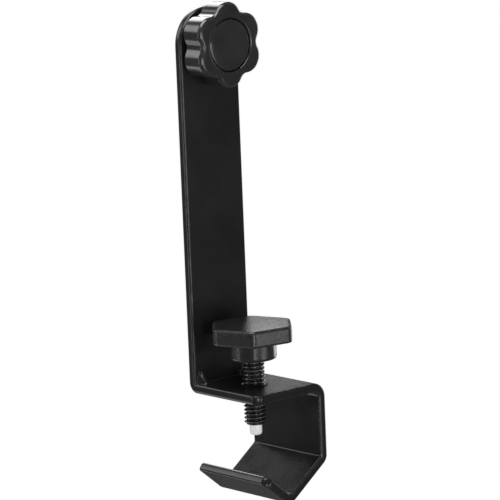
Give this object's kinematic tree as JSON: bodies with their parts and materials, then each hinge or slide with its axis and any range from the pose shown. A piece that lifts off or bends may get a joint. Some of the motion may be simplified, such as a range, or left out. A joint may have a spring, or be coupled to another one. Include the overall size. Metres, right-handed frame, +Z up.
{
  "type": "headphone hook bracket",
  "caption": "Folded steel bracket that clamps under a tube with a V jaw and a knob-topped screw, with an upright strap and a star knob at its top.",
  "frame": {"origin": "on the clamp screw's axis, level with the lowest point inside the V jaw, where the tube rests", "axes": "+Z up the screw and the upright strap, +X along the jaw and out of the strap's front face, +Y towards the web that joins shelf and jaw"},
  "size_m": [0.0407, 0.0345, 0.1748],
  "materials": {
    "powder_coat": "semi-gloss black powder coat",
    "black_oxide": "oiled black oxide",
    "textured_plastic": "fine moulded texture",
    "smooth_plastic": "smooth moulded gloss",
    "white_nylon": "natural nylon"
  },
  "bodies": {
    "frame": {"bracket": "powder_coat"},
    "tip": {"screw_tip": "white_nylon"},
    "clamp": {"clamp_screw": "black_oxide", "clamp_knob": "textured_plastic"},
    "washer": {"knob_washer": "textured_plastic"},
    "star": {"star_knob": "smooth_plastic", "star_knob_cap": "smooth_plastic", "star_knob_bolt": "black_oxide"}
  },
  "joints": [
    {"name": "clamp_travel", "type": "slide", "parent": "frame", "child": "tip", "axis": [0, 0, 1], "range_m": [-0.0087, 0.0105]},
    {"name": "clamp_turn", "type": "hinge", "parent": "tip", "child": "clamp", "pos_m": [0, 0, 0.046], "axis": [0, 0, 1], "range_deg": [-2225, 2685]},
    {"name": "star_travel", "type": "slide", "parent": "frame", "child": "washer", "axis": [1, 0, 0], "range_m": [0, 0.005]},
    {"name": "star_turn", "type": "hinge", "parent": "washer", "child": "star", "pos_m": [-0.0148, 0, 0.1566], "axis": [1, 0, 0], "range_deg": [0, 1280]}
  ],
  "couplings": [
    {"joint": "clamp_turn", "follows": "clamp_travel", "rad_per_m": 4452.7},
    {"joint": "star_turn", "follows": "star_travel", "rad_per_m": 4452.7}
  ]
}
